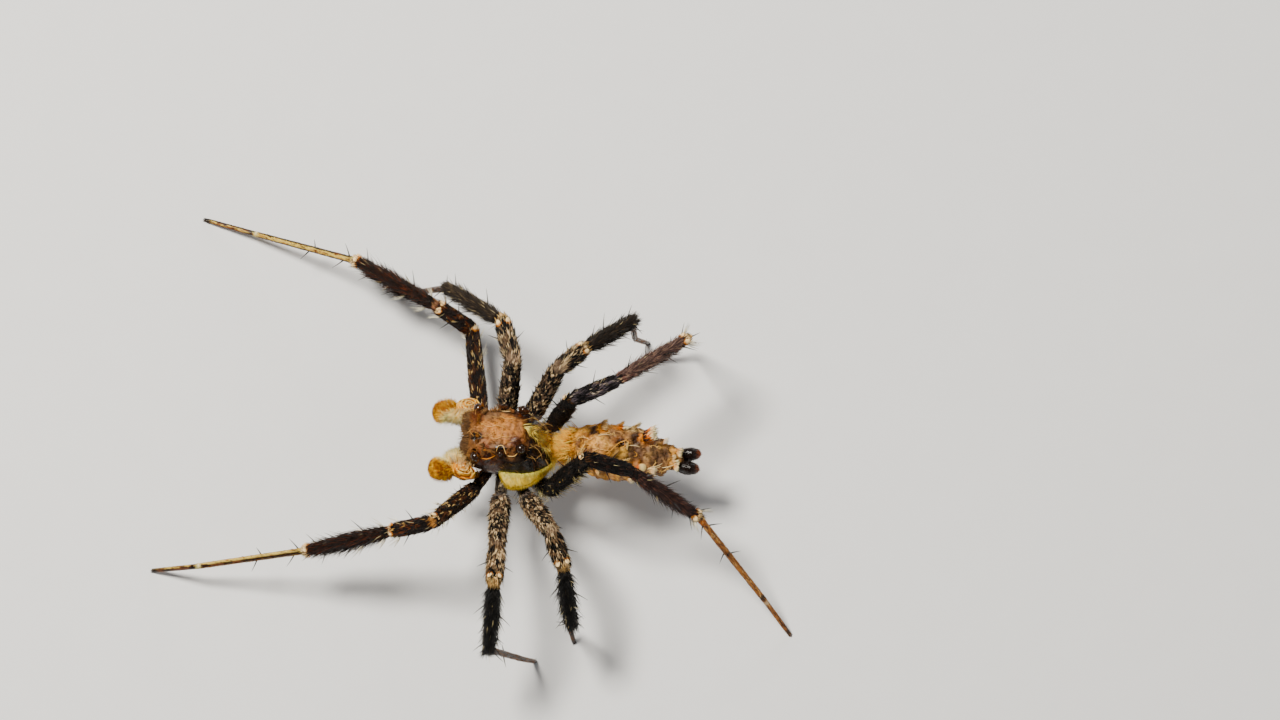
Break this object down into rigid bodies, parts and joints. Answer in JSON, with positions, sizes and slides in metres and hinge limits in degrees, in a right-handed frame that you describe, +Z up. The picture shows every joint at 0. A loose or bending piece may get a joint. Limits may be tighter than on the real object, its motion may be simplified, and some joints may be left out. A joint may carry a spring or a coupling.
{
  "type": "fringed jumping spider",
  "caption": "Life-size still model of a jumping spider with fringed legs, tufted abdomen and brush-like palps, standing on its feet.",
  "frame": {"origin": "under the middle of the whole animal's box, at the level of the soles", "axes": "+Z up from the floor; the head points towards -X and the animal's left side towards -Y"},
  "size_m": [0.0168, 0.0122, 0.0048],
  "materials": {
    "carapace": "tan and orange brown hairy shield, black behind, with a pale band low on each flank",
    "eye": "polished black-brown dome",
    "under_side": "dark brown horny skin",
    "abdomen": "mottled tan hair with dark spots, orange and white tufts",
    "palp": "golden and cream brush of hair",
    "leg_dark": "black-brown hairy leg with pale flecks",
    "leg_pale": "golden slender foot with a dark line",
    "spinneret": "black bristly spinneret with a rusty tip"
  },
  "bodies": {
    "root": {"abdomen": "abdomen", "carapace": "carapace", "chelicera_left": "under_side", "chelicera_right": "under_side", "eye_front_middle_left": "eye", "eye_front_middle_right": "eye", "eye_front_side_left": "eye", "eye_front_side_right": "eye", "eye_rear_middle_left": "eye", "eye_rear_middle_right": "eye", "eye_rear_side_left": "eye", "eye_rear_side_right": "eye", "leg1_left_coxa": "leg_dark", "leg1_left_femur": "leg_dark", "leg1_left_foot": "leg_pale", "leg1_left_patella": "leg_dark", "leg1_left_tibia": "leg_dark", "leg1_right_coxa": "leg_dark", "leg1_right_femur": "leg_dark", "leg1_right_foot": "leg_pale", "leg1_right_patella": "leg_dark", "leg1_right_tibia": "leg_dark", "leg2_left_coxa": "leg_dark", "leg2_left_femur": "leg_dark", "leg2_left_foot": "leg_pale", "leg2_left_patella": "leg_dark", "leg2_left_tibia": "leg_dark", "leg2_right_coxa": "leg_dark", "leg2_right_femur": "leg_dark", "leg2_right_foot": "leg_pale", "leg2_right_patella": "leg_dark", "leg2_right_tibia": "leg_dark", "leg3_left_coxa": "leg_dark", "leg3_left_femur": "leg_dark", "leg3_left_foot": "leg_pale", "leg3_left_patella": "leg_dark", "leg3_left_tibia": "leg_dark", "leg3_right_coxa": "leg_dark", "leg3_right_femur": "leg_dark", "leg3_right_foot": "leg_pale", "leg3_right_patella": "leg_dark", "leg3_right_tibia": "leg_dark", "leg4_left_coxa": "leg_dark", "leg4_left_femur": "leg_dark", "leg4_left_foot": "leg_pale", "leg4_left_patella": "leg_dark", "leg4_left_tibia": "leg_dark", "leg4_right_coxa": "leg_dark", "leg4_right_femur": "leg_dark", "leg4_right_foot": "leg_pale", "leg4_right_patella": "leg_dark", "leg4_right_tibia": "leg_dark", "palp_left_stalk": "palp", "palp_left_tip": "palp", "palp_right_stalk": "palp", "palp_right_tip": "palp", "pedicel": "under_side", "spinnerets": "spinneret", "sternum": "under_side"}
  },
  "joints": []
}
